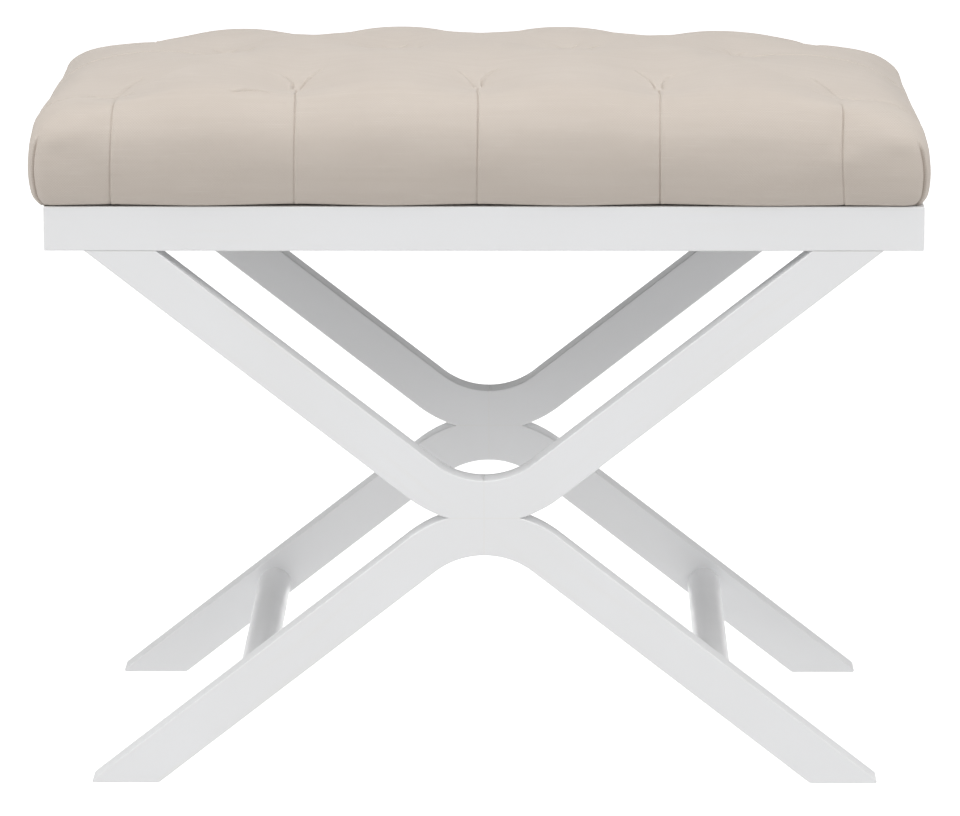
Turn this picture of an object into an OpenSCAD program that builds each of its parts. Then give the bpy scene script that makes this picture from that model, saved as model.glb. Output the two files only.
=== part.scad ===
// Upholstered bench on two crossed wooden frames.
// Units are millimetres. X is the length, Y the depth with the front at -Y, and Z is up.
// The origin is the centre of the footprint, on the floor.

/* [Seat frame] */
// Length of the seat frame
rail_length = 600; // [560:1:700]
// Depth of the seat frame
rail_depth = 380; // [340:1:440]
// Height of the rails of the seat frame
rail_height = 30.5; // [29:0.5:40]
// Thickness of every board in the rails, arms and legs
board_t = 26; // [24:0.5:30]

/* [Crossed frames] */
// Height of the underside of the seat frame
frame_height = 372; // [350:1:385]
// Height of the glued seam between the upper and lower halves of a cross
seam_height = 186.5; // [180:0.5:192]
// Slope of the arms and legs, in degrees
slope = 37.86; // [36:0.01:39]
// Width of an arm or leg, measured across it
arm_width = 30; // [29:0.5:34]
// Inner radius of the bend at the middle of a cross
bend_radius = 55; // [50:1:60]
// Thickness planed off each bend for the seam
seam_flat = 3.8; // [3:0.1:5]
// Height of the small upright cut at the tip of each foot
foot_tip = 2.2; // [1:0.1:4]

/* [Stretchers] */
// Diameter of a stretcher
stretcher_d = 24; // [18:0.5:26]
// Distance from the middle of the bench to a stretcher
stretcher_x = 159; // [140:1:180]
// How far a stretcher sits below the middle line of its leg
stretcher_drop = 2.5; // [0:0.5:4]

/* [Seat] */
// Height of the finished cushion above the rails
seat_height = 91.5; // [80:0.5:100]
// How far the cushion bulges past the rails
seat_bulge = 8; // [6:0.5:12]
// Thickness of the plywood seat board
seat_board_t = 12; // [12:0.5:15]
// Thickness of the fibre wadding over the foam
wadding_t = 8; // [6:0.5:10]
// Spacing of the tufts in the front, middle and back rows
tuft_pitch = [124.5, 121, 120]; // [110:0.5:125]
// Number of tufts in the front, middle and back rows
tuft_count = [5, 4, 5]; // [3:1:5]
// Depth of the tufts of each row below the crown of the cushion
tuft_depth = [20, 14, 20]; // [14:1:25]
// Distance between the rows of tufts
tuft_row_gap = 142; // [105:1:142]
// How far all the tufts stand to the right of the middle of the seat
tuft_shift = -4.5; // [-5:0.5:5]
// How far the tufts fall towards the ends of the seat
tuft_fall = 8; // [0:0.5:8]

/* [Hidden] */
$fn = 64;

paint = "white";
bare_wood = "burlywood";
steel = "silver";
linen = "antiquewhite";

fit_gap = 0.05;            // radial gap between a dowel or screw and its hole
glue_gap = 0.5;            // space left at the end of a blind hole
soft_gap = 0.3;            // gap between two soft layers
past = 1;                  // how far a cutting shape runs past a face

// Crossed frames
frame_y = (rail_depth - board_t) / 2;          // middle of the back frame
outer_radius = bend_radius + arm_width;
bend_centre = seam_height - seam_flat + outer_radius;
arm_reach = 2 * frame_height;                  // longer than any arm, before it is cut
bend_ease = 0.05;                              // the straight runs this much inside the bend's tangent
edge_drop = outer_radius / cos(slope) - bend_centre;
arm_outer_x = (frame_height + edge_drop) / tan(slope);
foot_outer_x = (2 * seam_height + edge_drop) / tan(slope);
foot_tip_x = foot_outer_x - foot_tip / tan(slope);

// Dowels
bend_dowel_d = 6;
bend_dowel_length = 36;
bend_dowel_gap = 12;       // between the two dowels of one bend, along Y
bend_dowel_rise = 16.5;    // above or below the seam
seam_dowel_d = 8;
seam_dowel_length = 22;
seam_dowel_x = 14;
arm_dowel_d = 8;
arm_dowel_length = 30;
arm_dowel_inset = [28, 41];    // from the outer edge of an arm, under the rail
rail_dowel_d = 6;
rail_dowel_length = 32;
rail_dowel_rise = [8, 22.5];   // above the underside of the rails

// Stretchers
leg_middle_x = foot_outer_x - arm_width / 2 / sin(slope);
stretcher_z = (leg_middle_x - stretcher_x) * tan(slope) - stretcher_drop / cos(slope);
inner_depth = rail_depth - 2 * board_t;        // between the front and back frames
tenon_d = 12;
tenon_length = 16;

// Corner blocks, and the screws that hold them and the seat
rail_top = frame_height + rail_height;
block_leg = 56;
block_height = 22;
block_screw_at = 36;       // from the corner, along the rail that the screw enters
block_screw_d = 4;
block_screw_length = 32;
block_head_d = 8;
block_head_h = 2.6;
counterbore_d = 9;
counterbore_depth = 6;
seat_screw_at = 11;        // from the inner faces of both rails
seat_screw_d = 4.5;
seat_screw_length = 33;
seat_head_d = 9;
seat_head_h = 3;

// Layers of the seat, from the rails up
dust_cover_t = 0.5;
dust_cover_inset = 14;
cover_t = 1.5;
hem_width = 40;
cover_bottom = rail_top + dust_cover_t;
board_bottom = cover_bottom + cover_t;
board_top = board_bottom + seat_board_t;
seat_top = rail_top + seat_height;
board_inset = 3;
board_corner = 12;
seat_corner = 22;
slice_t = 0.5;
slice_facets = 32;
// Slices of the cushion: height as a share of the cushion, and how far the slice stands
// out past the rails as a share of seat_bulge
seat_slices = [[0, 0.1], [0.1, 0.75], [0.3, 1], [0.57, 0.4],
    [0.71, -0.4], [0.86, -2.6], [0.94, -4.8], [1, -8.9]];

// Tufts
twine_d = 2;
twine_slit_d = 4;
washer_d = 12;
washer_hole_d = 3;
washer_t = 1.3;

// Staples
staple_crown = 12;
staple_leg = 6;
staple_wire = 1.2;
staple_crown_t = 0.7;
staple_slot_gap = 0.1;
staple_inset = 36;         // from the outer faces of the rails
staple_pitch = 48;
staples_long = 9;
staples_short = 5;

// ---- Placing ----

// Places a piece made for the right front corner at any of the four corners
module at_corner(side, front) {
    mirror([side < 0 ? 1 : 0, 0, 0]) mirror([0, front > 0 ? 1 : 0, 0]) children();
}

// Places a piece made about the middle of a frame in the front (-1) or back (1) frame
module in_frame(side, front) {
    at_corner(side, front) translate([0, -frame_y, 0]) children();
}

// ---- Crossed frames ----

// All that lies on the inner side of one face of a bent board: a disc for its bend, and a
// strip for its straight arm.
module bend_side(radius, clear_above) {
    circle(r = radius);
    rotate(slope) translate([0, bend_ease - radius]) square([arm_reach, radius + clear_above]);
}

// A right-hand board of an upper half, from the seam up to a height. It is a bend about
// the Y axis and a straight arm, with both ends cut level.
module bent_board(top) {
    rotate([90, 0, 0]) translate([0, 0, -board_t / 2]) linear_extrude(board_t) intersection() {
        translate([0, bend_centre]) difference() {
            bend_side(outer_radius, 0);
            bend_side(bend_radius, outer_radius);
        }
        translate([0, seam_height]) square([rail_length, top - seam_height]);
    }
}
module turned_over() {
    translate([0, 0, 2 * seam_height]) mirror([0, 0, 1]) children();
}

module bend_dowel_set(radius) {
    for (side_y = [-1, 1])
        translate([0, side_y * bend_dowel_gap / 2, seam_height + bend_dowel_rise])
            rotate([0, 90, 0]) cylinder(r = radius, h = bend_dowel_length, center = true);
}

module seam_dowel_set(radius) {
    for (side_x = [-1, 1])
        translate([side_x * seam_dowel_x, 0, seam_height])
            cylinder(r = radius, h = seam_dowel_length, center = true);
}

module arm_dowel_set(radius) {
    for (inset = arm_dowel_inset)
        translate([arm_outer_x - inset, 0, frame_height])
            cylinder(r = radius, h = arm_dowel_length, center = true);
}

module upper_arm() {
    color(paint) difference() {
        bent_board(frame_height);
        bend_dowel_set(bend_dowel_d / 2 + fit_gap);
        seam_dowel_set(seam_dowel_d / 2 + fit_gap);
        arm_dowel_set(arm_dowel_d / 2 + fit_gap);
    }
}

module lower_leg() {
    tenon_hole = 2 * (tenon_length + glue_gap);
    color(paint) difference() {
        turned_over() bent_board(2 * seam_height);
        translate([foot_tip_x, -board_t, -past]) cube([arm_width, 2 * board_t, arm_width]);
        turned_over() bend_dowel_set(bend_dowel_d / 2 + fit_gap);
        seam_dowel_set(seam_dowel_d / 2 + fit_gap);
        translate([stretcher_x, board_t / 2, stretcher_z]) rotate([90, 0, 0])
            cylinder(d = tenon_d + 2 * fit_gap, h = tenon_hole, center = true);
    }
}

module bend_dowels() {
    color(bare_wood) for (front = [-1, 1]) in_frame(1, front) {
        bend_dowel_set(bend_dowel_d / 2);
        turned_over() bend_dowel_set(bend_dowel_d / 2);
    }
}

module seam_dowels() {
    color(bare_wood) for (front = [-1, 1])
        in_frame(1, front) seam_dowel_set(seam_dowel_d / 2);
}

module arm_dowels() {
    color(bare_wood) for (side = [-1, 1], front = [-1, 1])
        in_frame(side, front) arm_dowel_set(arm_dowel_d / 2);
}

// ---- Stretchers ----

module stretcher(side) {
    color(paint) translate([side * stretcher_x, 0, stretcher_z]) rotate([90, 0, 0]) {
        cylinder(d = stretcher_d, h = inner_depth, center = true);
        cylinder(d = tenon_d, h = inner_depth + 2 * tenon_length, center = true);
    }
}

// ---- Seat frame ----

// The dowels that join the side rail to the front rail, at the right front corner
module rail_dowel_set(radius) {
    for (rise = rail_dowel_rise)
        translate([(rail_length - board_t) / 2, -inner_depth / 2, frame_height + rise])
            rotate([90, 0, 0]) cylinder(r = radius, h = rail_dowel_length, center = true);
}

// Moves to the inner corner of the rails at the right front
module at_inner_corner() {
    translate([rail_length / 2 - board_t, -inner_depth / 2, 0]) children();
}

// Places a screw drawn along Z, head at the origin, at both screws of a corner block
module at_block_screws() {
    for (turn = [0, 1]) at_inner_corner() mirror([turn, turn, 0])
        translate([-block_screw_at, block_leg - block_screw_at - counterbore_depth,
                   rail_top - block_height / 2])
            rotate([90, 0, 0]) children();
}

// Places a screw drawn along Z, head at the origin, under a corner block
module at_seat_screw() {
    at_inner_corner() translate([-seat_screw_at, seat_screw_at, rail_top - block_height])
        children();
}

module screw(shank_d, length, head_d, head_h) {
    cylinder(d = shank_d, h = length);
    translate([0, 0, -head_h]) cylinder(d = head_d, h = head_h);
}

module block_screw_holes() {
    at_block_screws()
        cylinder(d = block_screw_d + 2 * fit_gap, h = block_screw_length + glue_gap);
}

// The holes for the seat screws in all four corners
module seat_screw_holes() {
    for (side = [-1, 1], front = [-1, 1]) at_corner(side, front) at_seat_screw()
        cylinder(d = seat_screw_d + 2 * fit_gap, h = seat_screw_length + glue_gap);
}

module long_rail(front) {
    color(paint) difference() {
        translate([0, front * frame_y, frame_height + rail_height / 2])
            cube([rail_length, board_t, rail_height], center = true);
        for (side = [-1, 1]) {
            at_corner(side, front) rail_dowel_set(rail_dowel_d / 2 + fit_gap);
            at_corner(side, front) block_screw_holes();
            in_frame(side, front) arm_dowel_set(arm_dowel_d / 2 + fit_gap);
        }
    }
}

module side_rail(side) {
    color(paint) difference() {
        translate([side * (rail_length - board_t) / 2, 0, frame_height + rail_height / 2])
            cube([board_t, inner_depth, rail_height], center = true);
        for (front = [-1, 1]) at_corner(side, front) {
            rail_dowel_set(rail_dowel_d / 2 + fit_gap);
            block_screw_holes();
        }
    }
}

module rail_dowels() {
    color(bare_wood) for (side = [-1, 1], front = [-1, 1])
        at_corner(side, front) rail_dowel_set(rail_dowel_d / 2);
}

module corner_block() {
    color(bare_wood) difference() {
        at_inner_corner() translate([0, 0, rail_top - block_height])
            linear_extrude(height = block_height)
                polygon([[0, 0], [0, block_leg], [-block_leg, 0]]);
        block_screw_holes();
        at_block_screws() translate([0, 0, -block_leg])
            cylinder(d = counterbore_d, h = block_leg);
        seat_screw_holes();
    }
}

module block_screws() {
    color(steel) for (side = [-1, 1], front = [-1, 1]) at_corner(side, front)
        at_block_screws() screw(block_screw_d, block_screw_length, block_head_d, block_head_h);
}

module seat_screws() {
    color(steel) for (side = [-1, 1], front = [-1, 1]) at_corner(side, front)
        at_seat_screw() screw(seat_screw_d, seat_screw_length, seat_head_d, seat_head_h);
}

// ---- Seat ----

// Flat plate with round corners, as large as the seat frame less an inset
module seat_plate(inset, corner, bottom, thickness) {
    size = [rail_length - 2 * inset, rail_depth - 2 * inset];
    translate([0, 0, bottom]) linear_extrude(height = thickness) {
        square([size.x - 2 * corner, size.y], center = true);
        square([size.x, size.y - 2 * corner], center = true);
        for (side = [-1, 1], front = [-1, 1])
            translate([side * (size.x / 2 - corner), front * (size.y / 2 - corner)])
                circle(r = corner);
    }
}

// The crowned body of the cushion, shrunk by an inset and cut level at its bottom
module seat_form(inset, bottom) {
    height = seat_top - cover_bottom - inset;
    intersection() {
        hull() for (slice = seat_slices, side = [-1, 1], front = [-1, 1]) {
            reach = slice[1] * seat_bulge - seat_corner;
            translate([side * (rail_length / 2 + reach), front * (rail_depth / 2 + reach),
                       cover_bottom + slice[0] * (height - slice_t)])
                cylinder(r = seat_corner - inset, h = slice_t, $fn = slice_facets);
        }
        translate([0, 0, bottom + height])
            cube([2 * rail_length, 2 * rail_depth, 2 * height], center = true);
    }
}

// An upright cylinder at each tuft, with a height for each row that falls to the ends
module tuft_shafts(diameter, bottom, heights, fall = 0) {
    for (row = [0:2], i = [0:tuft_count[row] - 1]) {
        x = (i - (tuft_count[row] - 1) / 2) * tuft_pitch[row] + tuft_shift;
        translate([x, (row - 1) * tuft_row_gap, bottom])
            cylinder(d = diameter, h = heights[row] - fall * pow(2 * x / rail_length, 2));
    }
}

// Heights of the twines above a level
function twine_heights(bottom) = [for (depth = tuft_depth) seat_top - depth - bottom];

// Places a staple along X, its crown against the dust cover, at every stapled place
module at_staples() {
    for (front = [-1, 1], i = [0:staples_long - 1])
        translate([(i - (staples_long - 1) / 2) * staple_pitch,
                   front * (rail_depth / 2 - staple_inset), rail_top])
            children();
    for (side = [-1, 1], i = [0:staples_short - 1])
        translate([side * (rail_length / 2 - staple_inset),
                   (i - (staples_short - 1) / 2) * staple_pitch, rail_top])
            rotate(90) children();
}

module staple_slots() {
    slot = [staple_crown_t, staple_wire, 2 * staple_leg] + 2 * staple_slot_gap * [1, 1, 1];
    at_staples() for (side = [-1, 1])
        translate([side * (staple_crown - staple_crown_t) / 2, 0, 0]) cube(slot, center = true);
}

module cover_staples() {
    color(steel) at_staples() {
        translate([0, 0, -staple_crown_t / 2])
            cube([staple_crown, staple_wire, staple_crown_t], center = true);
        for (side = [-1, 1])
            translate([side * (staple_crown - staple_crown_t) / 2, 0, staple_leg / 2])
                cube([staple_crown_t, staple_wire, staple_leg], center = true);
    }
}

module dust_cover() {
    color("dimgray") difference() {
        seat_plate(dust_cover_inset, board_corner, rail_top, dust_cover_t);
        seat_screw_holes();
        staple_slots();
    }
}

module seat_board() {
    color(bare_wood) difference() {
        seat_plate(board_inset, board_corner, board_bottom, seat_board_t);
        tuft_shafts(twine_slit_d, board_bottom - past, [for (row = [0:2]) seat_board_t + 2 * past]);
        seat_screw_holes();
        staple_slots();
    }
}

module seat_foam() {
    color("lemonchiffon") difference() {
        seat_form(cover_t + wadding_t + 2 * soft_gap, board_top);
        tuft_shafts(twine_slit_d, board_top - past, twine_heights(board_top - past),
                    tuft_fall);
    }
}

module seat_wadding() {
    color("snow") difference() {
        seat_form(cover_t + soft_gap, board_bottom);
        seat_form(cover_t + wadding_t + soft_gap, board_bottom);
        seat_plate(board_inset - soft_gap, board_corner + soft_gap, board_bottom - past,
                   seat_board_t + past + soft_gap);
    }
}

module seat_cover() {
    color(linen) difference() {
        seat_form(0, cover_bottom);
        seat_form(cover_t, board_bottom);
        translate([0, 0, cover_bottom])
            cube([rail_length - 2 * hem_width, rail_depth - 2 * hem_width, 4 * cover_t],
                 center = true);
        seat_screw_holes();
        staple_slots();
    }
}

module tuft_twines() {
    bottom = board_bottom - washer_t;
    color(linen) tuft_shafts(twine_d, bottom, twine_heights(bottom), tuft_fall);
}

module twine_washers() {
    thickness = [for (row = [0:2]) washer_t];
    color(steel) difference() {
        tuft_shafts(washer_d, board_bottom - washer_t, thickness);
        tuft_shafts(washer_hole_d, board_bottom - washer_t - past,
                    [for (t = thickness) t + 2 * past]);
    }
}

in_frame(-1, -1) upper_arm();  // front_left_arm
in_frame(1, -1) upper_arm();  // front_right_arm
in_frame(-1, 1) upper_arm();  // back_left_arm
in_frame(1, 1) upper_arm();  // back_right_arm
in_frame(-1, -1) lower_leg();  // front_left_leg
in_frame(1, -1) lower_leg();  // front_right_leg
in_frame(-1, 1) lower_leg();  // back_left_leg
in_frame(1, 1) lower_leg();  // back_right_leg
stretcher(-1);  // left_stretcher
stretcher(1);  // right_stretcher
long_rail(-1);  // front_rail
long_rail(1);  // back_rail
side_rail(-1);  // left_rail
side_rail(1);  // right_rail
at_corner(-1, -1) corner_block();  // front_left_block
at_corner(1, -1) corner_block();  // front_right_block
at_corner(-1, 1) corner_block();  // back_left_block
at_corner(1, 1) corner_block();  // back_right_block
bend_dowels();
seam_dowels();
arm_dowels();
rail_dowels();
block_screws();
seat_screws();
seat_board();
seat_foam();
seat_wadding();
seat_cover();
tuft_twines();
twine_washers();
cover_staples();
dust_cover();
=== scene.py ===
"""Looks of the upholstered bench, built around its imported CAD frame.

Everything is in metres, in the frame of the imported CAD: X is the length, Y the depth
with the front at -Y, and Z is up. The painted frame, blocks, dowels and fixings are the CAD nodes with
bevels and better materials. The cushion and the dust cover are made here.
"""

import math

import bpy
import numpy as np
from mathutils import Matrix, Vector


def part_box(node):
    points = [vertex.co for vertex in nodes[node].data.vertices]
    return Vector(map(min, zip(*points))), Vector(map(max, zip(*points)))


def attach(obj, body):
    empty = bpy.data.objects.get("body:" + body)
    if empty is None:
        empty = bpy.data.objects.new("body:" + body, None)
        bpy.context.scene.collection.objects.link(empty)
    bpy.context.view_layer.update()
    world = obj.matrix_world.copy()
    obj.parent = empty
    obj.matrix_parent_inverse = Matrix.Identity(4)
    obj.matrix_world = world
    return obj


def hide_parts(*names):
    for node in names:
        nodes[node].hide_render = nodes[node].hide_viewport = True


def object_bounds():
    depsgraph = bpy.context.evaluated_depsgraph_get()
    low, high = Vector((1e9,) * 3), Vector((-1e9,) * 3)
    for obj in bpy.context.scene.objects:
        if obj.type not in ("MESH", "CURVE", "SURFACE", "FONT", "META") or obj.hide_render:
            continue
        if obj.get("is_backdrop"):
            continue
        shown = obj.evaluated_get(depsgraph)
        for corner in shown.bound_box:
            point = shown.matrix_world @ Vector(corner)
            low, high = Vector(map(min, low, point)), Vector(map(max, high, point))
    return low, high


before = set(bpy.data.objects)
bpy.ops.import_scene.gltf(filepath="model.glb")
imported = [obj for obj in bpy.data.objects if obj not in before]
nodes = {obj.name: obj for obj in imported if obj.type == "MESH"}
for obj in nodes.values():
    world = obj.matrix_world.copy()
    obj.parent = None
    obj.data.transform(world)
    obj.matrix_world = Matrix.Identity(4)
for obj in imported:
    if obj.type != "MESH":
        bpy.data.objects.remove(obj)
cad_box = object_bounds()

MM = 0.001

# ---- Camera, light and floor ----

CAMERA_PLACE = (0.0463, -4.6550, 1.0706)
CAMERA_YAW = -0.01097  # radians; positive looks to the right
CAMERA_PITCH = 0.17883  # radians below the horizon
CAMERA_ROLL = -0.00142
CAMERA_LENS = 248.83
FLOOR_SIZE = 40
FLOOR_GLOW = 0.75
WORLD_LIGHT = 0.43
SOFTBOXES = [
    ("softbox_top", (0.0, -0.85, 3.2), (3.2, 2.4), 47),
    ("softbox_front", (0.0, -3.5, 2.4), (3.0, 1.6), 20),
    ("softbox_left", (-3.0, -1.0, 2.0), (2.0, 2.0), 32),
    ("softbox_right", (3.0, -1.0, 2.0), (2.0, 2.0), 30),
    ("floor_bounce", (0.0, 0.0, -1.0), (5.0, 5.0), 51),
]


def add_camera():
    data = bpy.data.cameras.new("camera")
    data.sensor_width = 36
    data.lens = CAMERA_LENS
    data.clip_start = 0.1
    data.clip_end = 100
    camera = bpy.data.objects.new("camera", data)
    turn = Matrix.Rotation(-CAMERA_YAW, 4, "Z")
    tip = Matrix.Rotation(math.pi / 2 - CAMERA_PITCH, 4, "X")
    roll = Matrix.Rotation(CAMERA_ROLL, 4, "Z")
    camera.matrix_world = Matrix.Translation(CAMERA_PLACE) @ turn @ tip @ roll
    bpy.context.scene.collection.objects.link(camera)
    bpy.context.scene.camera = camera


def add_area_light(name, place, target, size, watts):
    data = bpy.data.lights.new(name, "AREA")
    data.shape = "RECTANGLE"
    data.size = size[0]
    data.size_y = size[1]
    data.energy = watts
    light = bpy.data.objects.new(name, data)
    light.location = place
    away = Vector(place) - Vector(target)
    light.rotation_euler = away.to_track_quat("Z", "Y").to_euler()
    light.visible_camera = False
    bpy.context.scene.collection.objects.link(light)


def add_light():
    scene = bpy.context.scene
    scene.view_settings.view_transform = "Standard"
    world = bpy.data.worlds.new("studio")
    world.use_nodes = True
    background = world.node_tree.nodes["Background"]
    background.inputs["Color"].default_value = (1, 1, 1, 1)
    background.inputs["Strength"].default_value = WORLD_LIGHT
    scene.world = world
    middle = (0, 0, 0.3)
    for name, place, size, watts in SOFTBOXES:
        add_area_light(name, place, middle, size, watts)


def add_floor(material):
    half = FLOOR_SIZE / 2
    corners = [(-half, -half, 0), (half, -half, 0), (half, half, 0), (-half, half, 0)]
    mesh = bpy.data.meshes.new("floor")
    mesh.from_pydata(corners, [], [(0, 1, 2, 3)])
    floor = bpy.data.objects.new("floor", mesh)
    floor.data.materials.append(material)
    bpy.context.scene.collection.objects.link(floor)
    floor.visible_diffuse = False  # white paper, but it must not light the bench from below
    floor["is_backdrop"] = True


# ---- Node helpers ----


class Nodes:
    """A material's node tree, with short calls for its nodes."""

    def __init__(self, name):
        self.material = bpy.data.materials.new(name)
        self.material.use_nodes = True
        self.tree = self.material.node_tree
        self.shader = self.tree.nodes["Principled BSDF"]

    def add(self, kind):
        return self.tree.nodes.new(kind)

    def link(self, source, target):
        self.tree.links.new(source, target)

    def put(self, value, socket):
        """Sets a socket to a value, or links another socket to it."""
        if isinstance(value, bpy.types.NodeSocket):
            self.link(value, socket)
        else:
            socket.default_value = value

    def place(self):
        return self.add("ShaderNodeTexCoord").outputs["Object"]

    def uv(self, name):
        node = self.add("ShaderNodeUVMap")
        node.uv_map = name
        return node.outputs["UV"]

    def mapping(self, vector, scale=(1, 1, 1), rotation=(0, 0, 0), location=(0, 0, 0)):
        turn = self.add("ShaderNodeMapping")
        turn.vector_type = "POINT"
        self.link(vector, turn.inputs["Vector"])
        turn.inputs["Rotation"].default_value = rotation
        stretch = self.add("ShaderNodeMapping")
        self.link(turn.outputs["Vector"], stretch.inputs["Vector"])
        stretch.inputs["Scale"].default_value = scale
        stretch.inputs["Location"].default_value = location
        return stretch.outputs["Vector"]

    def noise(self, vector, scale=1.0, detail=2.0, roughness=0.5):
        node = self.add("ShaderNodeTexNoise")
        self.link(vector, node.inputs["Vector"])
        node.inputs["Scale"].default_value = scale
        node.inputs["Detail"].default_value = detail
        node.inputs["Roughness"].default_value = roughness
        return node.outputs["Fac"]

    def ramp(self, value, low, high, out_low=0.0, out_high=1.0):
        """Maps low..high smoothly to out_low..out_high, held at both ends."""
        node = self.add("ShaderNodeMapRange")
        node.interpolation_type = "SMOOTHSTEP"
        self.link(value, node.inputs["Value"])
        node.inputs["From Min"].default_value = low
        node.inputs["From Max"].default_value = high
        node.inputs["To Min"].default_value = out_low
        node.inputs["To Max"].default_value = out_high
        return node.outputs["Result"]

    def math(self, operation, first, second=0.0):
        node = self.add("ShaderNodeMath")
        node.operation = operation
        self.put(first, node.inputs[0])
        self.put(second, node.inputs[1])
        return node.outputs["Value"]

    def mix(self, factor, first, second):
        node = self.add("ShaderNodeMix")
        node.data_type = "RGBA"
        self.put(factor, node.inputs[0])
        self.put(first, node.inputs[6])
        self.put(second, node.inputs[7])
        return node.outputs[2]

    def split(self, vector):
        node = self.add("ShaderNodeSeparateXYZ")
        self.link(vector, node.inputs[0])
        return node.outputs

    def bump(self, height, distance, strength=1.0, under=None):
        node = self.add("ShaderNodeBump")
        self.link(height, node.inputs["Height"])
        node.inputs["Distance"].default_value = distance
        node.inputs["Strength"].default_value = strength
        if under is not None:
            self.link(under, node.inputs["Normal"])
        return node.outputs["Normal"]

    def edge(self, radius):
        """From 0 on open faces to about 1 along sharp outer edges."""
        bevel = self.add("ShaderNodeBevel")
        bevel.samples = 4
        bevel.inputs["Radius"].default_value = radius
        plain = self.add("ShaderNodeNewGeometry")
        dot = self.add("ShaderNodeVectorMath")
        dot.operation = "DOT_PRODUCT"
        self.link(bevel.outputs["Normal"], dot.inputs[0])
        self.link(plain.outputs["Normal"], dot.inputs[1])
        return self.ramp(dot.outputs["Value"], 0.995, 0.86)

    def finish(self, colour, roughness, normal=None, **values):
        self.put(colour, self.shader.inputs["Base Color"])
        self.put(roughness, self.shader.inputs["Roughness"])
        if normal is not None:
            self.link(normal, self.shader.inputs["Normal"])
        for name, value in values.items():
            self.shader.inputs[name.replace("_", " ")].default_value = value
        return self.material


def grey(value, warm=0.0):
    """A near-white colour; warm shifts it from blue towards yellow."""
    return (value * (1 + warm / 2), value, value * (1 - warm), 1)


# ---- Materials ----

PAINT = grey(0.86, -0.012)
PAINT_THIN = grey(0.80, 0.05)
PAINT_DEEP = grey(0.83, -0.004)


def painted_wood(name, turn):
    """Sprayed semi-gloss paint over wood whose grain runs along X before the turn."""
    n = Nodes(name)
    along = n.mapping(n.place(), scale=(7, 140, 140), rotation=turn)
    grain = n.noise(along, 1.0, 5.0, 0.6)
    cloud = n.noise(n.place(), 9.0, 3.0)
    orange_peel = n.noise(n.place(), 420.0, 2.0)
    fine = n.noise(n.place(), 1500.0, 1.0)
    specks = n.ramp(n.noise(n.place(), 900.0, 0.0), 0.80, 0.86)
    colour = n.mix(n.ramp(cloud, 0.3, 0.7, 0.0, 0.55), PAINT, PAINT_DEEP)
    colour = n.mix(n.ramp(grain, 0.55, 0.8, 0.0, 0.25), colour, PAINT_THIN)
    colour = n.mix(n.math("MULTIPLY", specks, 0.25), colour, PAINT_THIN)
    worn = n.math("MULTIPLY", n.edge(1.2 * MM), n.ramp(cloud, 0.35, 0.65, 0.15, 0.55))
    colour = n.mix(worn, colour, PAINT_THIN)
    rough = n.ramp(n.noise(n.place(), 35.0, 4.0), 0.3, 0.7, 0.30, 0.40)
    normal = n.bump(grain, 0.10 * MM, 0.25)
    normal = n.bump(orange_peel, 0.05 * MM, 0.30, normal)
    normal = n.bump(fine, 0.01 * MM, 0.30, normal)
    return n.finish(colour, rough, normal, Coat_Weight=0.15, Coat_Roughness=0.25)


BEECH = (0.62, 0.43, 0.25, 1)
BEECH_DARK = (0.44, 0.28, 0.14, 1)
BEECH_PORE = (0.24, 0.14, 0.07, 1)


def bare_wood():
    """Planed hardwood, unfinished, with its grain along X."""
    n = Nodes("bare_wood")
    along = n.mapping(n.place(), scale=(6, 90, 90))
    rings = n.noise(along, 1.0, 6.0, 0.65)
    pores = n.noise(n.mapping(n.place(), scale=(60, 1400, 1400)), 1.0, 1.0)
    colour = n.mix(n.ramp(rings, 0.3, 0.7), BEECH, BEECH_DARK)
    colour = n.mix(n.ramp(pores, 0.62, 0.72, 0, 0.6), colour, BEECH_PORE)
    height = n.math("SUBTRACT", rings, n.ramp(pores, 0.6, 0.75))
    return n.finish(colour, n.ramp(rings, 0.3, 0.7, 0.55, 0.72), n.bump(height, 0.15 * MM, 0.5))


BIRCH = (0.66, 0.47, 0.28, 1)
BIRCH_DARK = (0.50, 0.33, 0.17, 1)
PLY_EDGE = (0.34, 0.20, 0.10, 1)
PLY_PITCH = 2.8 * MM


def plywood():
    """Birch plywood: a grained face, and bands of plies on the edge."""
    n = Nodes("plywood")
    height = n.split(n.place())[2]
    plies = n.math("SINE", n.math("MULTIPLY", height, 2 * math.pi / PLY_PITCH))
    grain = n.noise(n.mapping(n.place(), scale=(5, 70, 70)), 1.0, 6.0, 0.6)
    colour = n.mix(n.ramp(grain, 0.3, 0.7), BIRCH, BIRCH_DARK)
    colour = n.mix(n.ramp(plies, -0.2, 0.2, 0, 0.45), colour, PLY_EDGE)
    return n.finish(colour, n.ramp(grain, 0.3, 0.7, 0.6, 0.75), n.bump(grain, 0.1 * MM, 0.5))


ZINC = (0.66, 0.66, 0.64, 1)
ZINC_DULL = (0.50, 0.51, 0.52, 1)


def zinc_steel():
    """Bright zinc plate, with a fine scratched grain."""
    n = Nodes("zinc_steel")
    cloud = n.noise(n.place(), 300.0, 3.0)
    scratch = n.noise(n.mapping(n.place(), scale=(200, 3000, 3000)), 1.0, 2.0)
    colour = n.mix(n.ramp(cloud, 0.3, 0.7), ZINC, ZINC_DULL)
    rough = n.ramp(scratch, 0.3, 0.7, 0.28, 0.46)
    return n.finish(colour, rough, n.bump(scratch, 0.02 * MM, 0.4), Metallic=1.0)


THREAD = (0.66, 0.60, 0.50, 1)
THREAD_DARK = (0.48, 0.42, 0.33, 1)


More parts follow.
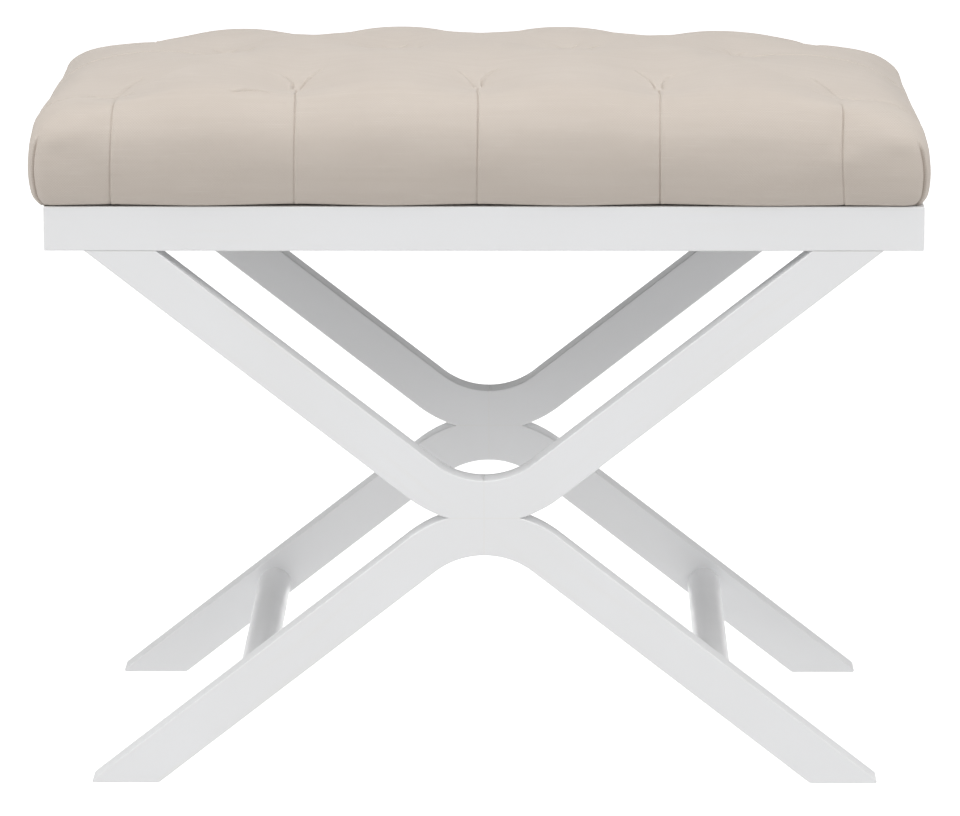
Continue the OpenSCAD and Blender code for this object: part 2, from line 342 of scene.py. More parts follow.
def twine():
    """Waxed linen thread, with the slant of its twist."""
    n = Nodes("twine")
    x, _, z = n.split(n.place())
    slant = n.math("ADD", n.math("MULTIPLY", z, 1600.0), n.math("MULTIPLY", x, 4000.0))
    twist = n.ramp(n.math("SINE", slant), -1, 1)
    colour = n.mix(twist, THREAD_DARK, THREAD)
    return n.finish(colour, n.ramp(twist, 0, 1, 0.6, 0.75), n.bump(twist, 0.2 * MM, 0.6))


FLEECE = (0.035, 0.035, 0.036, 1)
FLEECE_DARK = (0.012, 0.012, 0.013, 1)
FLEECE_DOT = (0.008, 0.008, 0.008, 1)
DOT_PITCH = 1.6 * MM


def dust_cloth():
    """Black non-woven cloth, pressed with a grid of small dots."""
    n = Nodes("dust_cloth")
    x, y, _ = n.split(n.place())
    pitch = 2 * math.pi / DOT_PITCH
    dots = n.math(
        "MULTIPLY",
        n.math("SINE", n.math("MULTIPLY", x, pitch)),
        n.math("SINE", n.math("MULTIPLY", y, pitch)),
    )
    fibres = n.noise(n.mapping(n.place(), scale=(500, 1500, 500)), 1.0, 4.0, 0.7)
    colour = n.mix(n.ramp(fibres, 0.35, 0.7), FLEECE_DARK, FLEECE)
    colour = n.mix(n.ramp(dots, 0.5, 0.9, 0, 0.5), colour, FLEECE_DOT)
    height = n.math("SUBTRACT", fibres, n.ramp(dots, 0.4, 0.9))
    normal = n.bump(height, 0.12 * MM, 0.6)
    return n.finish(colour, n.ramp(fibres, 0.3, 0.7, 0.75, 0.9), normal)


LINEN = (0.583, 0.520, 0.461, 1)
LINEN_DARK = (0.492, 0.430, 0.374, 1)
LINEN_PALE = (0.649, 0.595, 0.538, 1)
WEAVE_PITCH = 2.0 * MM


def linen():
    """Plain weave linen with slubs. Its map holds metres along the cloth."""
    n = Nodes("linen")
    cloth = n.uv("cloth")
    u, v, _ = n.split(cloth)
    pitch = 2 * math.pi / WEAVE_PITCH
    wobble = n.noise(n.mapping(cloth, scale=(120, 120, 1)), 1.0, 2.0)
    shift = n.math("MULTIPLY", wobble, 2.6)
    across = n.math("SINE", n.math("ADD", n.math("MULTIPLY", u, pitch), shift))
    along = n.math("SINE", n.math("ADD", n.math("MULTIPLY", v, pitch), shift))
    checker = n.math("MULTIPLY", across, along)
    slub_u = n.noise(n.mapping(cloth, scale=(38, 1150, 1)), 1.0, 2.0, 0.6)
    slub_v = n.noise(n.mapping(cloth, scale=(1150, 45, 1), location=(7, 3, 0)), 1.0, 2.0, 0.6)
    thick = n.ramp(slub_u, 0.60, 0.78)
    thick_v = n.ramp(slub_v, 0.64, 0.80)
    thin = n.ramp(slub_u, 0.42, 0.26)
    cloud = n.noise(n.mapping(cloth, scale=(14, 14, 1)), 1.0, 3.0)
    streak = n.noise(n.mapping(cloth, scale=(6, 160, 1)), 1.0, 3.0)
    colour = n.mix(n.ramp(checker, -0.6, 0.6, 0.0, 0.45), LINEN, LINEN_DARK)
    colour = n.mix(n.math("MULTIPLY", thick, 0.42), colour, LINEN_DARK)
    colour = n.mix(n.math("MULTIPLY", thick_v, 0.25), colour, LINEN_DARK)
    colour = n.mix(n.math("MULTIPLY", thin, 0.45), colour, LINEN_PALE)
    colour = n.mix(n.ramp(streak, 0.3, 0.7, 0.0, 0.15), colour, LINEN_PALE)
    colour = n.mix(n.ramp(cloud, 0.35, 0.65, 0.0, 0.15), colour, LINEN_DARK)
    height = n.math("ADD", n.math("MULTIPLY", checker, 0.5), n.math("ADD", thick, thick_v))
    normal = n.bump(height, 0.12 * MM, 0.45)
    rough = n.ramp(slub_u, 0.3, 0.7, 0.86, 0.95)
    return n.finish(colour, rough, normal, Sheen_Weight=0.15, Sheen_Roughness=0.5)


def floor_paper():
    n = Nodes("floor_paper")
    cloud = n.noise(n.place(), 2.0, 2.0)
    colour = n.mix(cloud, grey(0.955), grey(0.945))
    n.link(colour, n.shader.inputs["Emission Color"])
    values = {"Specular_IOR_Level": 0.2, "Emission_Strength": FLOOR_GLOW}
    return n.finish(colour, 0.75, **values)


# ---- Shape helpers ----


def smooth_line(points, steps):
    """A Catmull-Rom line through points, with steps samples on each stretch."""
    points = np.array(points, float)
    padded = np.vstack([2 * points[0] - points[1], points, 2 * points[-1] - points[-2]])
    t = np.linspace(0, 1, steps, endpoint=False)[:, None]
    parts = []
    for p0, p1, p2, p3 in zip(padded, padded[1:], padded[2:], padded[3:]):
        a = 2 * p1
        b = (p2 - p0) * t
        c = (2 * p0 - 5 * p1 + 4 * p2 - p3) * t**2
        d = (3 * p1 - p0 - 3 * p2 + p3) * t**3
        parts.append((a + b + c + d) / 2)
    return np.vstack([*parts, points[-1:]])


def spline_weights(where, count):
    """Rows that sample a uniform cubic B-spline of count points at fractional indexes."""
    index = np.clip(np.floor(where).astype(int), 0, count - 2)
    t = where - index
    basis = [(1 - t) ** 3, 3 * t**3 - 6 * t**2 + 4, -3 * t**3 + 3 * t**2 + 3 * t + 1, t**3]
    rows = np.zeros((len(where), count + 2))
    for k, part in enumerate(basis):
        rows[np.arange(len(where)), index + k] += part / 6
    weights = rows[:, 1:-1].copy()
    weights[:, 0] += 2 * rows[:, 0]
    weights[:, 1] -= rows[:, 0]
    weights[:, -1] += 2 * rows[:, -1]
    weights[:, -2] -= rows[:, -1]
    return weights


def normals_of(grid):
    """Unit normals of a grid of points, upwards where the grid is level."""
    along = np.gradient(grid, axis=1)
    across = np.gradient(grid, axis=0)
    normal = np.cross(along, across)
    return normal / np.maximum(np.linalg.norm(normal, axis=2, keepdims=True), 1e-12)


def make_object(name, points, faces, material):
    mesh = bpy.data.meshes.new(name)
    mesh.from_pydata(points, [], faces)
    mesh.update()
    mesh.polygons.foreach_set("use_smooth", [True] * len(mesh.polygons))
    mesh.materials.append(material)
    made = bpy.data.objects.new(name, mesh)
    bpy.context.scene.collection.objects.link(made)
    return made


# ---- Cushion: its plain form ----

rail_low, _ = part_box("left_rail")
front_low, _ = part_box("front_rail")
HALF_X = -rail_low.x
HALF_Y = -front_low.y
cover_low, cover_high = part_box("seat_cover")
_, board_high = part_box("seat_board")
BOTTOM = cover_low.z
TOP = cover_high.z
TALL = TOP - BOTTOM

# Each row: share of the height, stand-out past the rails at the ends and at the front and
# back, and radius of the corner seen from above.
PROFILE = [
    (0.000, 0.0010, 0.0004, 0.012),
    (0.016, 0.0035, 0.0025, 0.013),
    (0.055, 0.0052, 0.0037, 0.014),
    (0.110, 0.0064, 0.0047, 0.014),
    (0.200, 0.0073, 0.0054, 0.014),
    (0.300, 0.0077, 0.0057, 0.014),
    (0.440, 0.0072, 0.0050, 0.016),
    (0.570, 0.0060, 0.0042, 0.022),
    (0.710, 0.0030, -0.0040, 0.038),
    (0.820, -0.0118, -0.0185, 0.060),
    (0.900, -0.0470, -0.0410, 0.094),
    (0.960, -0.0900, -0.0890, 0.115),
    (1.000, -0.1380, -0.1390, 0.125),
]
INNER_BLEND = 0.050  # over which the rings' round corners die out on the top
LEAN_LOW = -3.0 * MM  # how far the cover was pulled to the left at its lower edge
LEAN_HIGH = -4.5 * MM  # and on the top
LEFT_FALL = 4.5 * MM  # how far the ends of the top lie below its middle
RIGHT_FALL = 11.0 * MM
END_ROLL = 9.0 * MM  # and how much more the last of the top falls at the back
ROLL_IN_FRONT = 0.4  # the front's share of it
ROLL_POWER = 8


class Form:
    """The cushion without its tufts, as a flat sheet folded over a padded box.

    A point of the sheet is (x, y) in metres. Its ring is its distance in from the edge.
    """

    def __init__(self):
        line = smooth_line(PROFILE, 12)
        rise = line[:, 0] * TALL
        run = line[:, 1]
        steps = np.hypot(np.diff(rise), np.diff(run))
        self.ring = np.concatenate([[0], np.cumsum(steps)])
        self.shoulder = self.ring[-1]
        self.a = HALF_X + run[-1] + self.shoulder
        self.b = HALF_Y + line[-1, 2] + self.shoulder
        far = self.b
        self.ring_all = np.append(self.ring, [self.shoulder + INNER_BLEND, far])
        self.half_x = np.append(HALF_X + run, [self.a - self.shoulder - INNER_BLEND, self.a - far])
        self.half_y = np.append(HALF_Y + line[:, 2], [self.b - self.shoulder - INNER_BLEND, 0])
        self.height = np.append(BOTTOM + rise, [TOP, TOP])
        self.corner = np.append(line[:, 3], [0.0, 0.0])

    def ring_of(self, x, y):
        return np.minimum(self.a - np.abs(x), self.b - np.abs(y))

    def at(self, x, y):
        """Places of the sheet's points."""
        ring = self.ring_of(x, y)
        half_x = np.interp(ring, self.ring_all, self.half_x)
        half_y = np.interp(ring, self.ring_all, self.half_y)
        corner = np.interp(ring, self.ring_all, self.corner)
        corner = np.minimum(corner, np.maximum(np.minimum(half_x, half_y) - 1e-6, 0))
        height = np.interp(ring, self.ring_all, self.height)
        point = self.on_ring(x, y, self.a - ring, self.b - ring, half_x, half_y, corner, height)
        fall = np.where(point[..., 0] > 0, RIGHT_FALL, LEFT_FALL)
        share = (height - BOTTOM) / TALL
        out = np.abs(point[..., 0]) / HALF_X
        back = np.clip(point[..., 1] / HALF_Y + 0.5, 0, 1)
        roll = END_ROLL * (ROLL_IN_FRONT + (1 - ROLL_IN_FRONT) * back) * out**ROLL_POWER
        point[..., 2] -= fall * out**2 * share + roll * share**2
        point[..., 0] += LEAN_LOW + (LEAN_HIGH - LEAN_LOW) * share
        return point

    def on_ring(self, x, y, flat_x, flat_y, half_x, half_y, corner, height):
        """Places on a rounded rectangle, for sheet points on a flat rectangle."""
        px = squeeze(x, flat_x, half_x, STRAIGHT_X)
        py = squeeze(y, flat_y, half_y, STRAIGHT_Y)
        qx = np.clip(px, corner - half_x, half_x - corner)
        qy = np.clip(py, corner - half_y, half_y - corner)
        wx = px - qx
        wy = py - qy
        length = np.hypot(wx, wy)
        scale = np.where(length > 1e-9, np.minimum(corner / np.maximum(length, 1e-9), 1), 1)
        return np.stack([qx + wx * scale, qy + wy * scale, height + 0 * qx], axis=-1)


STRAIGHT_X = 0.258  # up to here the cloth's columns run straight down the front and back
STRAIGHT_Y = 0.150  # and down the ends
CORNER_ROOM = 0.025


def squeeze(value, flat, half, straight):
    """Keeps the middle as it is, and takes up the spare cloth next to the corners."""
    keep = np.minimum(straight, half - CORNER_ROOM)
    keep = np.maximum(keep, 0)
    past = np.abs(value) - keep
    room = np.maximum(flat - keep, 1e-9)
    moved = keep + (half - keep) * past / room
    return np.where(past > 0, np.sign(value) * moved, value)


# ---- Cushion: tufts, folds and seams ----


TWINE_ROOM = 5 * MM  # two points of one twine lie closer than this


def read_tufts():
    """Places of the tufts, from the upper ends of the CAD twines."""
    mesh = nodes["tuft_twines"].data
    points = np.array([v.co for v in mesh.vertices])
    found = []
    while len(points):
        near = np.linalg.norm(points[:, :2] - points[0, :2], axis=1) < TWINE_ROOM
        group = points[near]
        found.append((group[:, 0].mean(), group[:, 1].mean(), group[:, 2].max()))
        points = points[~near]
    return sorted(found, key=lambda t: (round(t[1], 3), t[0]))


ROW_ROOM = 0.05
NEIGHBOUR = 0.1  # tufts of two rows are neighbours when closer than this along X
TUFT_SPREAD = 0.032
TUFT_REACH = 0.086  # the same on the side of a front or back tuft that faces the middle
TUFT_POWER = 1.25
TWINE_COVER = 1.0 * MM  # cloth and pad over the end of a twine
SLANT_VALLEY = 4.0 * MM  # between two tufts, at its ends
SLANT_MIDDLE = 0.35  # its depth half way, as a share
SLANT_WIDTH = 13 * MM
SHOULDER_VALLEY = 3.0 * MM  # from a tuft to the nearest edge
BACK_VALLEY = 12.0 * MM  # the same to the back edge, at the middle of its length
EDGE_REACH = 0.095  # where those valleys have died out
EDGE_LEAST = 0.06  # but for this share
EDGE_WIDTH = 9 * MM
EDGE_WIDER = 6 * MM
BLEND_POWER = 3
TUCK_BOW = (2, 5)  # in mm, like the lengths of the tucks
LONG_TUCK = (38, 50)  # from a front or back tuft towards a middle one
SHORT_TUCK = (22, 32)  # from a middle tuft towards a back one
SIDE_TUCK = 30  # beside a middle tuft
END_TUCK = 20  # beside the outermost front tufts
FRONT_WRINKLES = [((-0.171, -0.166), (-0.141, -0.162))]


class Tufting:
    """Hollows at the tufts and valleys between them, worked out on the plain form."""

    def __init__(self, form):
        self.form = form
        self.tufts = read_tufts()
        self.rows = [
            [t for t in self.tufts if abs(t[1] - middle) < ROW_ROOM]
            for middle in (self.tufts[0][1], 0, self.tufts[-1][1])
        ]

    def slants(self):
        """Pairs of neighbouring tufts, from a middle tuft to a front or back one."""
        for outer in (self.rows[0], self.rows[2]):
            for middle in self.rows[1]:
                for tuft in outer:
                    if abs(tuft[0] - middle[0]) < NEIGHBOUR:
                        yield middle, tuft

    def to_edges(self):
        """Each outer tuft with the axis and side of an edge that it is pleated to."""
        for row, side in ((self.rows[0], -1), (self.rows[2], 1)):
            for tuft in row:
                yield tuft, 1, side
        for row in self.rows:
            yield row[0], 0, -1
            yield row[-1], 0, 1

    def creases(self):
        """Short tucks beside the tufts, seen from above: start, end and sideways bow."""
        random = np.random.default_rng(11)
        for middle, tuft in self.slants():
            side = np.sign(middle[0] - tuft[0]) * np.sign(middle[1] - tuft[1])
            bow = side * random.uniform(*TUCK_BOW) * MM
            yield (*partway(tuft, middle, 7 * MM, random.uniform(*LONG_TUCK) * MM), bow)
            if tuft[1] > 0:
                yield (*partway(middle, tuft, 5 * MM, random.uniform(*SHORT_TUCK) * MM), bow)
        outermost = self.rows[0][:1] + self.rows[0][-1:]
        for row, reach in ((self.rows[1], SIDE_TUCK), (outermost, END_TUCK)):
            for tuft in row:
                for side in (-1, 1):
                    far = (tuft[0] + side * HALF_X, tuft[1] + random.uniform(-10, 30) * MM)
                    end = random.uniform(0.7, 1) * reach * MM
                    yield (*partway(tuft, far, 5 * MM, end), side * 1.5 * MM)
        for start, end in FRONT_WRINKLES:
            yield start, end, 2 * MM

    def edge_place(self, sheet, plain, tuft, axis, side):
        """Share of the way from a tuft to the cloth's edge, distance off that line, whether
        the point is in that side's part of the cloth, and the tuft's way to the edge."""
        x, y = sheet
        ring = self.form.ring_of(x, y)
        at_end = self.form.a - np.abs(x) < self.form.b - np.abs(y)
        here = (at_end == (axis == 0)) & (np.sign((x, y)[axis]) == side)
        near = np.hypot(plain[..., 0] - tuft[0], plain[..., 1] - tuft[1])
        start = ring.ravel()[np.argmin(near)]
        off = plain[..., 1 - axis] - tuft[1 - axis]
        return 1 - ring / start, off, here, start

    def depth(self, sheet, plain):
        """How far the cloth lies below the plain form, with tufts reaching their CAD depth."""
        px = plain[..., 0]
        py = plain[..., 1]
        parts = []
        for tx, ty, tz in self.tufts:
            across = (px - tx) / TUFT_SPREAD
            inward = (py - ty) * np.sign(ty) < 0
            along = (py - ty) / np.where(inward, TUFT_REACH, TUFT_SPREAD)
            apart = np.hypot(across, along)
            under = plain[..., 2].ravel()[np.argmin(apart)] - tz - TWINE_COVER
            parts.append(under * np.exp(-(apart**TUFT_POWER)))
        for start, end in self.slants():
            t, off = line_place(px, py, start, end)
            deep = SLANT_VALLEY * (SLANT_MIDDLE + (1 - SLANT_MIDDLE) * (2 * t - 1) ** 2)
            parts.append(deep * np.exp(-((off / SLANT_WIDTH) ** 2)) * between(t, 0, 1, 0.1))
        for tuft, axis, side in self.to_edges():
            t, off, here, length = self.edge_place(sheet, plain, tuft, axis, side)
            most = SHOULDER_VALLEY
            if (axis, side) == (1, 1):
                most = BACK_VALLEY * (1 - (tuft[0] / HALF_X) ** 2)
            deep = most * np.clip(1 - t * length / EDGE_REACH, EDGE_LEAST, 1)
            width = EDGE_WIDTH + EDGE_WIDER * np.clip(t, 0, 1)
            fade = between(t, 0, 1.1, 0.15) * here
            parts.append(deep * np.exp(-((off / width) ** 2)) * fade)
        return sum(np.maximum(p, 0) ** BLEND_POWER for p in parts) ** (1 / BLEND_POWER)


def partway(start, end, near, far):
    """The stretch of a line between two distances from its start."""
    start = np.array(start[:2])
    run = np.array(end[:2]) - start
    run = run / np.linalg.norm(run)
    return start + near * run, start + far * run


def line_place(x, y, start, end):
    """Share along a line, and signed distance off it."""
    dx = end[0] - start[0]
    dy = end[1] - start[1]
    length = math.hypot(dx, dy)
    t = ((x - start[0]) * dx + (y - start[1]) * dy) / length**2
    off = ((y - start[1]) * dx - (x - start[0]) * dy) / length
    return t, off


def between(t, low, high, fade):
    """1 from low to high, and smoothly 0 past fade outside them."""
    rise = np.clip((t - low) / fade + 1, 0, 1)
    fall = np.clip((high - t) / fade + 1, 0, 1)
    edge = np.minimum(rise, fall)
    return edge * edge * (3 - 2 * edge)


# ---- Cushion: cloth simulation ----

COARSE = 6 * MM
SIM_FRAMES = 16
SIM_PRESSURE = 2.0
SWELL_CAP = 9 * MM
PIN_RADIUS = 5.5 * MM
HEM_HOLD = 14 * MM  # in from the edge, where the cloth is free


def coarse_lines(half):
    count = 2 * round(half / COARSE) + 1
    return np.linspace(-half, half, count)


def grid_faces(rows, columns):
    index = np.arange(rows * columns).reshape(rows, columns)
    return np.stack(
        [index[:-1, :-1], index[:-1, 1:], index[1:, 1:], index[1:, :-1]], axis=-1
    ).reshape(-1, 4)


def rim_of(rows, columns):
    """Indexes round the edge of a grid, anticlockwise from its first point."""
    index = np.arange(rows * columns).reshape(rows, columns)
    return np.concatenate([index[0, :-1], index[:-1, -1], index[-1, :0:-1], index[:0:-1, 0]])


def swell(points, pins):
    """Blows up a closed sheet of grid points held at the pins, by cloth simulation."""
    rows, columns = points.shape[:2]
    flat = points.reshape(-1, 3)
    faces = grid_faces(rows, columns).tolist()
    rim = rim_of(rows, columns)
    faces.append(rim[::-1].tolist())
    work = make_object("swell_work", flat.tolist(), faces, bpy.data.materials[0])
    group = work.vertex_groups.new(name="pins")
    held = np.flatnonzero(pins.ravel() > 0)
    for index in held:
        group.add([int(index)], float(pins.ravel()[index]), "REPLACE")
    cloth = work.modifiers.new("cloth", "CLOTH")
    values = cloth.settings
    values.quality = 5
    values.mass = 0.3
    values.tension_stiffness = 18
    values.compression_stiffness = 18
    values.shear_stiffness = 6
    values.bending_stiffness = 0.6
    values.air_damping = 2
    values.use_pressure = True
    values.uniform_pressure_force = SIM_PRESSURE
    values.effector_weights.gravity = 0
    values.vertex_group_mass = "pins"
    cloth.collision_settings.use_collision = False
    cloth.collision_settings.use_self_collision = False
    cloth.point_cache.frame_start = 1
    cloth.point_cache.frame_end = SIM_FRAMES
    scene = bpy.context.scene
    for number in range(1, SIM_FRAMES + 1):
        scene.frame_set(number)
    solved = work.evaluated_get(bpy.context.evaluated_depsgraph_get())
    moved = np.empty(len(flat) * 3)
    solved.data.vertices.foreach_get("co", moved)
    mesh = work.data
    bpy.data.objects.remove(work)
    bpy.data.meshes.remove(mesh)
    scene.frame_set(1)
    step = moved.reshape(-1, 3) - flat
    length = np.linalg.norm(step, axis=1, keepdims=True)
    step *= np.minimum(1, SWELL_CAP / np.maximum(length, 1e-9))
    return step.reshape(points.shape)


# ---- Cushion: fine mesh, folds and hem ----

FINE = 3.3 * MM
FOLD_STEPS = np.array([0.4, 0.8, 1.2, 1.7, 2.3, 3.0]) * MM
FOLD_LINES = np.concatenate([-FOLD_STEPS[::-1], [0], FOLD_STEPS])


def fine_lines(half, folds):
    """Grid lines a step apart, with close ones at each straight fold."""
    count = 2 * round(half / FINE) + 1
    lines = np.linspace(-half, half, count)
    reach = FOLD_LINES[-1] + 0.5 * FINE
    for fold in folds:
        lines = lines[np.abs(lines - fold) > reach]
    added = [fold + FOLD_LINES for fold in folds]
    return np.sort(np.concatenate([lines, *added]))


class Cushion:
    def __init__(self):
        self.form = Form()
        self.tufting = Tufting(self.form)

    def folds_x(self):
        rows = self.tufting.rows[0] + self.tufting.rows[2]
        return sorted({round(t[0] - LEAN_HIGH, 4) for t in rows})

    def folds_y(self):
        return sorted({round(t[1], 4) for t in self.tufting.tufts})

    def base(self, x, y):
        """The tufted form before it swells."""
        plain = self.form.at(x, y)
        deep = self.tufting.depth((x, y), plain)
        return plain - normals_of(plain) * deep[..., None]

    def pins(self, x, y, points):
        """Holds the cloth at its tufts and along its edge."""
        held = np.zeros(x.shape)
        for tx, ty, _ in self.tufting.tufts:
            near = np.hypot(points[..., 0] - tx, points[..., 1] - ty)
            held = np.maximum(held, np.clip(1.6 - near / PIN_RADIUS, 0, 1))
        ring = self.form.ring_of(x, y)
        return np.maximum(held, np.clip(1 - ring / HEM_HOLD, 0, 1))

    def coarse(self):
        xs = coarse_lines(self.form.a)
        ys = coarse_lines(self.form.b)
        x, y = np.meshgrid(xs, ys)
        points = self.base(x, y)
        points = points + swell(points, self.pins(x, y, points))
        return xs, ys, points

    def fine(self):
        """The fine grid's sheet coordinates and places."""
        self.xs, self.ys, self.swollen = self.coarse()
        fine_x = fine_lines(self.form.a, self.folds_x())
        fine_y = fine_lines(self.form.b, self.folds_y())
        wx, wy = self.weights(fine_x, fine_y)
        points = np.einsum("rj,jik,ci->rck", wy, self.swollen, wx, optimize=True)
        self.crown = points[..., 2].max()
        x, y = np.meshgrid(fine_x, fine_y)
        return x, y, self.level(points)

    def weights(self, x, y):
        wx = spline_weights((x + self.form.a) / (self.xs[1] - self.xs[0]), len(self.xs))
        wy = spline_weights((y + self.form.b) / (self.ys[1] - self.ys[0]), len(self.ys))
        return wx, wy

    def scattered(self, x, y):
        """Places of single sheet points."""
        wx, wy = self.weights(x, y)
        rows = np.tensordot(wy, self.swollen, axes=(1, 0))
        return self.level(np.einsum("nc,nck->nk", wx, rows))

    def level(self, points):
        """Stretches what stands above mid-height, so that the crown meets the CAD top."""
        middle = BOTTOM + TALL / 2
        share = (TOP - middle) / (self.crown - middle)
        points = points.copy()
        z = points[..., 2]
        points[..., 2] = np.where(z > middle, middle + (z - middle) * share, z)
        return points

    def near_creases(self, x, y):
        """Whether points of the sheet lie beside a crease, a tuft or a corner fold."""
        plain = self.form.at(x, y)
        near = np.zeros(x.shape, bool)
        for start, end, bow in self.tufting.creases():
            t, off = line_place(plain[..., 0], plain[..., 1], start, end)
            off = off - 4 * bow * t * (1 - t)
            near |= (np.abs(off) < CREASE_ROOM) & (t > -0.05) & (t < 1.05)
        for tx, ty, _ in self.tufting.tufts:
            near |= np.hypot(plain[..., 0] - tx, plain[..., 1] - ty) < 2 * CREASE_ROOM
        off, height, at_corner = corner_place(self.form, x, y)
        folded = at_corner & (np.abs(off) < CREASE_ROOM) & (height < CORNER_FOLD_TOP)
        folded &= self.form.ring_of(x, y) > FINE  # the cloth's edge itself stays whole
        return (near & (plain[..., 2] > BOTTOM + TALL / 2)) | folded


SPLIT = 3  # parts along each side of a quad beside a crease
CREASE_ROOM = 3.0 * MM


class SplitGrid:
    """A grid whose chosen quads are split, with its neighbours' edges kept closed."""

    def __init__(self, x, y, chosen):
        rows, columns = x.shape
        self.x = x.ravel().tolist()
        self.y = y.ravel().tolist()
        self.on_edges = {}
        quads = grid_faces(rows, columns)
        small = []
        for corners in quads[chosen.ravel()].tolist():
            small += self.split(corners)
        self.faces = [self.outline(c) for c in quads[~chosen.ravel()].tolist()] + small
        self.x = np.array(self.x)
        self.y = np.array(self.y)

    def add(self, first, second, share):
        self.x.append(self.x[first] + (self.x[second] - self.x[first]) * share)
        self.y.append(self.y[first] + (self.y[second] - self.y[first]) * share)
        return len(self.x) - 1

    def edge(self, first, second):
        """The points on an edge, in order from its first corner."""
        low, high = min(first, second), max(first, second)
        if (low, high) not in self.on_edges:
            found = [self.add(low, high, k / SPLIT) for k in range(1, SPLIT)]
            self.on_edges[low, high] = found
        found = self.on_edges[low, high]
        return found if first < second else found[::-1]

    def split(self, corners):
        a, b, c, d = corners
        left = [a, *self.edge(a, d), d]
        right = [b, *self.edge(b, c), c]
        lattice = [[a, *self.edge(a, b), b]]
        for k in range(1, SPLIT):
            inner = [self.add(left[k], right[k], i / SPLIT) for i in range(1, SPLIT)]
            lattice.append([left[k], *inner, right[k]])
        lattice.append([d, *self.edge(d, c), c])
        return [
            [low[i], low[i + 1], high[i + 1], high[i]]
            for low, high in zip(lattice, lattice[1:])
            for i in range(SPLIT)
        ]

    def outline(self, corners):
        """A whole quad, with the points that split neighbours put on its edges."""
        found = []
        for first, second in zip(corners, corners[1:] + corners[:1]):
            found.append(first)
            if (min(first, second), max(first, second)) in self.on_edges:
                found += self.edge(first, second)
        return found


def scattered_normals(cushion, x, y):
    step = 0.5 * MM
    along = cushion.scattered(x + step, y) - cushion.scattered(x - step, y)
    across = cushion.scattered(x, y + step) - cushion.scattered(x, y - step)
    normal = np.cross(along, across)
    return normal / np.maximum(np.linalg.norm(normal, axis=1, keepdims=True), 1e-12)


CREASE_WIDTH = 0.75 * MM
CREASE_DEPTH = 1.4 * MM
PLEAT_DEPTH = 1.2 * MM
PLEAT_WIDTH = 0.5 * MM
PLEAT_SWAY = 0.35 * MM
SOFT_WIDTH = 6 * MM  # of the shallow hollow round a groove


def groove(off, width, deep, lip):
    """A tucked fold across its line: a narrow groove with one raised lip beside it."""
    cut = -deep * np.exp(-((off / width) ** 2))
    soft = -0.2 * deep * np.exp(-((off / SOFT_WIDTH) ** 2))
    raised = lip * np.exp(-(((off - 2.6 * width) / (2.2 * width)) ** 2))
    return cut + soft + raised


def fold_lift(cushion, x, y):
    """How far the pleats and creases raise the cloth along its normals."""
    plain = cushion.form.at(x, y)
    lift = np.zeros(x.shape)
    random = np.random.default_rng(5)
    for tuft, axis, side in cushion.tufting.to_edges():
        t, off, here, _ = cushion.tufting.edge_place((x, y), plain, tuft, axis, side)
        sway = random.normal(0, PLEAT_SWAY, 3)
        phase = random.uniform(0, 2 * math.pi, 3)
        for k in range(3):
            off = off + sway[k] * np.sin((k + 1) * 2.5 * t + phase[k]) * np.clip(t * 4, 0, 1)
        deep = PLEAT_DEPTH * (1 + 0.2 * np.sin(6 * t + phase[0]))
        lift += groove(off, PLEAT_WIDTH, deep, 0.3 * MM) * between(t, 0.0, 1.2, 0.04) * here
    on_top = plain[..., 2] > BOTTOM + TALL / 2
    for start, end, bow in cushion.tufting.creases():
        t, off = line_place(plain[..., 0], plain[..., 1], start, end)
        off = off - 4 * bow * t * (1 - t)
        fade = between(t, 0.08, 0.75, 0.2) * on_top
        lift += groove(off, CREASE_WIDTH, CREASE_DEPTH, 0.4 * MM) * fade
    return lift + corner_folds(cushion.form, x, y)


CORNER_FOLD_TOP = 0.054  # above the cushion's underside
CORNER_FOLD_FADE = 10 * MM
CORNER_FOLD_ROOM = 0.05
ARC_SHARE = 0.785  # a round corner's length as a share of its two flats
LEFT_FOLD = (3.2 * MM, 0.85 * MM)  # depth and width
RIGHT_FOLD = (4.6 * MM, 1.15 * MM)
FLAP_LIFT = 0.9 * MM
FLAP_RISE = 1.5 * MM
FLAP_LENGTH = 9 * MM


def corner_place(form, x, y):
    """Distance off the fold of the nearest corner, height above the cushion's underside,
    and whether the point is near that corner."""
    ring = form.ring_of(x, y)
    height = np.interp(ring, form.ring_all, form.height) - BOTTOM
    half_x = np.interp(ring, form.ring_all, form.half_x)
    half_y = np.interp(ring, form.ring_all, form.half_y)
    px = squeeze(np.abs(x), form.a - ring, half_x, STRAIGHT_X)
    py = squeeze(np.abs(y), form.b - ring, half_y, STRAIGHT_Y)
    off = ARC_SHARE * ((half_y - py) - (half_x - px))
    near = (half_x - px < CORNER_FOLD_ROOM) & (half_y - py < CORNER_FOLD_ROOM)
    return off, height, near


def corner_folds(form, x, y):
    """The tucked corner at each upright edge, a deep fold with a raised end flap."""
    off, height, near = corner_place(form, x, y)
    fade = np.clip((CORNER_FOLD_TOP - height) / CORNER_FOLD_FADE, 0, 1)
    deep = np.where(x > 0, RIGHT_FOLD[0], LEFT_FOLD[0])
    width = np.where(x > 0, RIGHT_FOLD[1], LEFT_FOLD[1])
    cut = -deep * np.exp(-((off / width) ** 2))
    flap = FLAP_LIFT * np.clip(off / FLAP_RISE, 0, 1) * np.exp(-np.clip(off, 0, 1) / FLAP_LENGTH)
    return np.where(near, (cut + flap) * fade, 0.0)


HEM = 40 * MM
BOARD_GAP = 0.3 * MM
CLOTH_THICK = 1.2 * MM
HEM_CORNER = 0.010
BOARD_CORNER = 0.020


